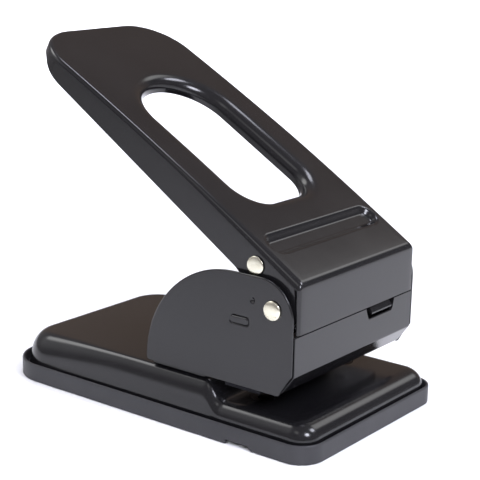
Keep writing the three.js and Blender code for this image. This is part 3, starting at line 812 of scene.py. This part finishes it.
class Shader:
    """A node material on a Principled surface, with small helpers for its parts."""

    def __init__(self, name, colour, rough, metal=0.0, ior=1.5):
        self.material = bpy.data.materials.new(name)
        self.material.use_nodes = True
        self.material.diffuse_color = (*colour, 1)
        self.tree = self.material.node_tree
        self.surface = self.tree.nodes["Principled BSDF"]
        put = self.surface.inputs
        put["Base Color"].default_value = (*colour, 1)
        put["Roughness"].default_value = rough
        put["Metallic"].default_value = metal
        put["IOR"].default_value = ior
        self.place = self.node("ShaderNodeTexCoord").outputs["Object"]

    def node(self, kind, **fields):
        n = self.tree.nodes.new(kind)
        for key, value in fields.items():
            setattr(n, key, value)
        return n

    def link(self, a, b):
        self.tree.links.new(a, b)

    def noise(self, scale, detail=3, rough=0.55, stretch=None):
        n = self.node("ShaderNodeTexNoise")
        n.inputs["Scale"].default_value = scale
        n.inputs["Detail"].default_value = detail
        n.inputs["Roughness"].default_value = rough
        place = self.place
        if stretch:
            m = self.node("ShaderNodeMapping")
            m.inputs["Scale"].default_value = stretch
            self.link(place, m.inputs["Vector"])
            place = m.outputs["Vector"]
        self.link(place, n.inputs["Vector"])
        return n.outputs["Fac"]

    def ramp(self, value, stops):
        """Maps a value through colour stops given as (position, colour or level)."""
        r = self.node("ShaderNodeValToRGB")
        while len(r.color_ramp.elements) < len(stops):
            r.color_ramp.elements.new(0.5)
        for e, (p, c) in zip(r.color_ramp.elements, stops):
            e.position = p
            e.color = (c, c, c, 1) if isinstance(c, (int, float)) else (*c, 1)
        self.link(value, r.inputs["Fac"])
        return r.outputs["Color"]

    def mix(self, a, b, amount):
        m = self.node("ShaderNodeMix", data_type="RGBA")
        for socket, value in ((m.inputs[0], amount), (m.inputs[6], a), (m.inputs[7], b)):
            if isinstance(value, bpy.types.NodeSocket):
                self.link(value, socket)
            else:
                socket.default_value = value if isinstance(value, float) else (*value, 1)
        return m.outputs[2]

    def colour(self, socket):
        self.link(socket, self.surface.inputs["Base Color"])

    def rough(self, socket):
        self.link(socket, self.surface.inputs["Roughness"])

    def bump(self, *layers):
        """Layers of (height, distance in metres, strength)."""
        last = None
        for height, distance, strength in layers:
            b = self.node("ShaderNodeBump")
            b.inputs["Distance"].default_value = distance
            b.inputs["Strength"].default_value = strength
            self.link(height, b.inputs["Height"])
            if last:
                self.link(last, b.inputs["Normal"])
            last = b.outputs["Normal"]
        self.link(last, self.surface.inputs["Normal"])


def enamel():
    """Stoved black enamel on pressed steel: glossy, faint orange peel, a little dust and haze."""
    m = Shader("black_enamel", (0.006, 0.006, 0.0068), 0.15)
    peel = m.noise(520, 2, 0.5)
    haze = m.noise(22, 5, 0.6)
    specks = m.noise(1100, 2, 0.5)
    base = m.ramp(haze, [(0.3, (0.005, 0.005, 0.0058)), (0.7, (0.0075, 0.0072, 0.008))])
    dust = m.ramp(specks, [(0.70, 0.0), (0.76, 1.0)])
    m.colour(m.mix(base, (0.035, 0.034, 0.033), m.ramp(dust, [(0.0, 0.0), (1.0, 0.2)])))
    m.rough(m.ramp(haze, [(0.25, 0.15), (0.75, 0.2)]))
    m.bump((peel, 0.000006, 0.3), (haze, 0.0001, 0.08))
    return m.material


def tray_plastic():
    """Dark moulded plastic with a fine spark-eroded grain."""
    m = Shader("tray_plastic", (0.026, 0.026, 0.029), 0.5, ior=1.48)
    grain = m.noise(2600, 3, 0.65)
    cloud = m.noise(30, 4, 0.6)
    m.colour(m.ramp(cloud, [(0.3, (0.022, 0.022, 0.025)), (0.7, (0.031, 0.031, 0.034))]))
    m.rough(m.ramp(grain, [(0.3, 0.42), (0.7, 0.58)]))
    m.bump((grain, 0.00006, 0.5), (cloud, 0.0002, 0.08))
    return m.material


def nickel():
    """Bright plated steel, slightly yellow, with a few soft scuffs."""
    m = Shader("nickel", (0.80, 0.77, 0.62), 0.24, metal=1.0)
    scuff = m.noise(120, 4, 0.6, (1.0, 1.0, 2.0))
    fine = m.noise(1800, 2, 0.5)
    m.colour(m.ramp(scuff, [(0.30, (0.52, 0.47, 0.33)), (0.42, (0.76, 0.73, 0.58)),
                            (0.7, (0.84, 0.82, 0.70))]))
    m.rough(m.ramp(scuff, [(0.3, 0.34), (0.5, 0.24), (0.8, 0.2)]))
    m.bump((scuff, 0.00004, 0.12), (fine, 0.000005, 0.2))
    return m.material


def machined(name, low, high, rough, stretch, scale):
    """Bare or plated metal with fine machining marks."""
    m = Shader(name, high, rough, metal=1.0)
    marks = m.noise(scale, 3, 0.6, stretch)
    stain = m.noise(60, 4, 0.6)
    tone = m.ramp(stain, [(0.3, low), (0.7, high)])
    m.colour(m.mix(tone, tuple(0.82 * c for c in low), m.ramp(marks, [(0.35, 0.35), (0.65, 0.0)])))
    m.rough(m.ramp(marks, [(0.3, rough + 0.1), (0.7, rough - 0.06)]))
    m.bump((marks, 0.00002, 0.3))
    return m.material


def rubber():
    """Matt black rubber, lightly textured and dusty."""
    m = Shader("rubber", (0.016, 0.016, 0.016), 0.85)
    grain = m.noise(1500, 3, 0.6)
    m.colour(m.ramp(grain, [(0.35, (0.012, 0.012, 0.012)), (0.75, (0.028, 0.027, 0.026))]))
    m.rough(m.ramp(grain, [(0.3, 0.78), (0.7, 0.92)]))
    m.bump((grain, 0.00008, 0.5))
    return m.material


finishes = {
    "black_enamel": enamel(),
    "tray_plastic": tray_plastic(),
    "nickel": nickel(),
    # tool steel gets a near-black tone, far darker than bare steel: painted shade, so the guide block and
    # die rings read as dark in the shaded throat under the head
    "tool_steel": machined("tool_steel", (0.012, 0.012, 0.014), (0.022, 0.022, 0.025), 0.36,
                           (0.12, 1.0, 1.0), 900),
    "zinc_steel": machined("zinc_steel", (0.46, 0.47, 0.47), (0.62, 0.63, 0.63), 0.38, (1.0, 0.5, 1.0), 300),
    "bronze": machined("bronze", (0.36, 0.22, 0.09), (0.52, 0.34, 0.16), 0.4, (1.0, 1.0, 1.0), 700),
    "rubber": rubber(),
}


def fit(piece, body, finish, *nodes):
    """Gives a piece its finish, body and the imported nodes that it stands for."""
    piece.data.materials.clear()
    piece.data.materials.append(finishes[finish])
    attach(piece, body)
    if nodes:
        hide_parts(*nodes)
    return piece


# ---------------------------------------------------------------- the punch

fit(lever_shell(), "lever", "black_enamel", "handle_shell")
fit(base_plate(), "frame", "black_enamel", "base_plate")
fit(chip_tray(), "frame", "tray_plastic", "chip_tray")
for post in tray_posts():
    fit(post, "frame", "tray_plastic")
for side, name in ((-1, "left"), (1, "right")):
    fit(cheek(side), "frame", "black_enamel", "cheek_" + name)
fit(front_panel(), "frame", "black_enamel", "front_plate")
fit(stop_tongue(), "lever", "black_enamel", "stop_tongue")
axle_pin, cross_pin = pins()
fit(axle_pin, "frame", "nickel", "fulcrum_axle")
fit(cross_pin, "lever", "nickel", "press_shaft")
for side, name in ((-1, "left"), (1, "right")):
    spring = fit(coil_spring("coil_" + name, 40 * side), "frame", "zinc_steel", "return_spring_" + name)
    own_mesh(spring)

# smaller parts by body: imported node, finish and the width of its rounded edges
small = {
    "frame": [("guide_block", "tool_steel", 0.5), ("fulcrum_spacer", "zinc_steel", 0.3),
              ("foot_bracket_left", "black_enamel", 0.4), ("foot_bracket_right", "black_enamel", 0.4),
              ("rear_stay", "black_enamel", 0.4),
              ("die_ring_left", "tool_steel", 0.15), ("die_ring_right", "tool_steel", 0.15)],
    "press": [("press_bar", "zinc_steel", 0.5)],
    "lever": [("handle_bushing_left", "bronze", 0.2), ("handle_bushing_right", "bronze", 0.2),
              ("press_sleeve_left", "tool_steel", 0.3), ("press_sleeve_right", "tool_steel", 0.3)],
}
for i in range(1, 5):
    small["frame"] += [(f"bracket_screw_{i}", "zinc_steel", 0.12), (f"bracket_nut_{i}", "zinc_steel", 0.2),
                       (f"foot_pad_{i}", "rubber", 0.3)]
for name in ("left", "right"):
    small["press"] += [(f"punch_{name}", "tool_steel", 0.12), (f"punch_screw_{name}", "zinc_steel", 0.12)]
for body, parts in small.items():
    for node, finish, width in parts:
        fit(refined(node, width), body, finish, node)


# ---------------------------------------------------------------- floor, light and camera

FLOOR_REACH = 9.0
LAMP_COLOUR = 0.87, 0.885, 1.0
CAMERA_AT = -0.616355, -0.482241, 0.295951
CAMERA_TURN, CAMERA_RISE, CAMERA_ROLL = 52.844, -14.561, 1.294
LENS, SENSOR = 101.217, 36.0


def floor():
    """Plain pale studio floor."""
    mesh = bpy.data.meshes.new("floor")
    corners = [(FLOOR_REACH * x, FLOOR_REACH * y, 0) for x, y in ((-1, -1), (1, -1), (1, 1), (-1, 1))]
    mesh.from_pydata(corners, [], [(0, 1, 2, 3)])
    piece = bpy.data.objects.new("floor", mesh)
    scene.collection.objects.link(piece)
    m = Shader("pale_floor", (0.86, 0.86, 0.86), 0.9, ior=1.2)
    m.colour(m.ramp(m.noise(3, 2), [(0.3, (0.85, 0.85, 0.85)), (0.7, (0.87, 0.87, 0.87))]))
    mesh.materials.append(m.material)


def heading(azimuth, elevation):
    """Unit vector; azimuth 0 looks along +Y and grows towards +X."""
    a, e = math.radians(azimuth), math.radians(elevation)
    return Vector((math.sin(a) * math.cos(e), math.cos(a) * math.cos(e), math.sin(e)))


def studio(base, lobes):
    """A dim room with soft boxes, each (direction, core and edge angle, colour, strength)."""
    world = bpy.data.worlds.new("studio")
    scene.world = world
    world.use_nodes = True
    tree = world.node_tree
    ground = tree.nodes["Background"]
    where = tree.nodes.new("ShaderNodeTexCoord").outputs["Generated"]
    total = None
    for direction, core, edge, colour, strength in lobes:
        dot = tree.nodes.new("ShaderNodeVectorMath")
        dot.operation = "DOT_PRODUCT"
        tree.links.new(where, dot.inputs[0])
        dot.inputs[1].default_value = heading(*direction)
        reach = tree.nodes.new("ShaderNodeMapRange")
        reach.interpolation_type = "SMOOTHSTEP"
        reach.inputs["From Min"].default_value = math.cos(math.radians(edge))
        reach.inputs["From Max"].default_value = math.cos(math.radians(core))
        tree.links.new(dot.outputs["Value"], reach.inputs["Value"])
        mix = tree.nodes.new("ShaderNodeMix")
        mix.data_type = "RGBA"
        tree.links.new(reach.outputs["Result"], mix.inputs[0])
        if total is None:
            mix.inputs[6].default_value = (*base, 1)
        else:
            tree.links.new(total, mix.inputs[6])
        mix.inputs[7].default_value = (*(c * strength for c in colour), 1)
        total = mix.outputs[2]
    tree.links.new(total, ground.inputs["Color"])


def lamp(name, place, target, size, watts, shape="DISK"):
    """Area lamp that looks from its place at the target."""
    data = bpy.data.lights.new(name, "AREA")
    data.shape = shape
    data.size = size
    data.energy = watts
    data.color = LAMP_COLOUR
    piece = bpy.data.objects.new(name, data)
    scene.collection.objects.link(piece)
    piece.location = place
    piece.rotation_euler = (Vector(target) - Vector(place)).to_track_quat("-Z", "Y").to_euler()
    return piece


floor()
studio((0.35, 0.335, 0.355), [
    ((66, 10), 8, 54, (1.0, 0.76, 0.62), 0.25),
    ((50, 0), 3, 14, (1.0, 0.75, 0.65), 0.07),
    ((-30, 38), 5, 35, (0.97, 0.97, 1.0), 0.95),
    ((-12, 48), 7, 16, (1.0, 1.0, 1.0), 4.5),
    ((-100, 52), 4, 12, (1.0, 1.0, 1.0), 1.7),
    ((121, 19), 5, 17, (0.95, 0.95, 1.0), 0.22),
    ((106, 38), 6, 13, (1.0, 1.0, 1.0), 2.4),
])
heart = Vector((0, 0, 0.08))
for name, direction, reach, size, watts in (("front_lamp", (140, 45), 2.4, 0.76, 17),
                                            ("top_lamp", (72, 71), 1.3, 0.41, 3.5),
                                            ("side_lamp", (-165, 36), 1.4, 0.44, 11)):
    lamp(name, heart + reach * heading(*direction), heart, size, watts)
backdrop = lamp("backdrop_light", (1.8, 1.5, 1.7), (1.8, 1.5, 0), 2.6, 50, "SQUARE")
fill = lamp("fill_light", (-0.85, -0.8, 0.75), (-0.06, -0.06, 0), 0.7, 2.2)
for soft, spread in ((backdrop, 100), (fill, 60)):
    soft.data.spread = math.radians(spread)
    soft.visible_glossy = False

camera_data = bpy.data.cameras.new("camera")
camera_data.sensor_width = SENSOR
camera_data.lens = LENS
camera = bpy.data.objects.new("camera", camera_data)
scene.collection.objects.link(camera)
forward = heading(CAMERA_TURN, CAMERA_RISE)
across = Matrix.Rotation(math.radians(-CAMERA_ROLL), 3, forward) @ heading(CAMERA_TURN + 90, 0)
upward = across.cross(forward)
basis = Matrix((across, upward, -forward)).transposed()
camera.matrix_world = Matrix.Translation(CAMERA_AT) @ basis.to_4x4()
scene.camera = camera
scene.view_settings.view_transform = "Standard"
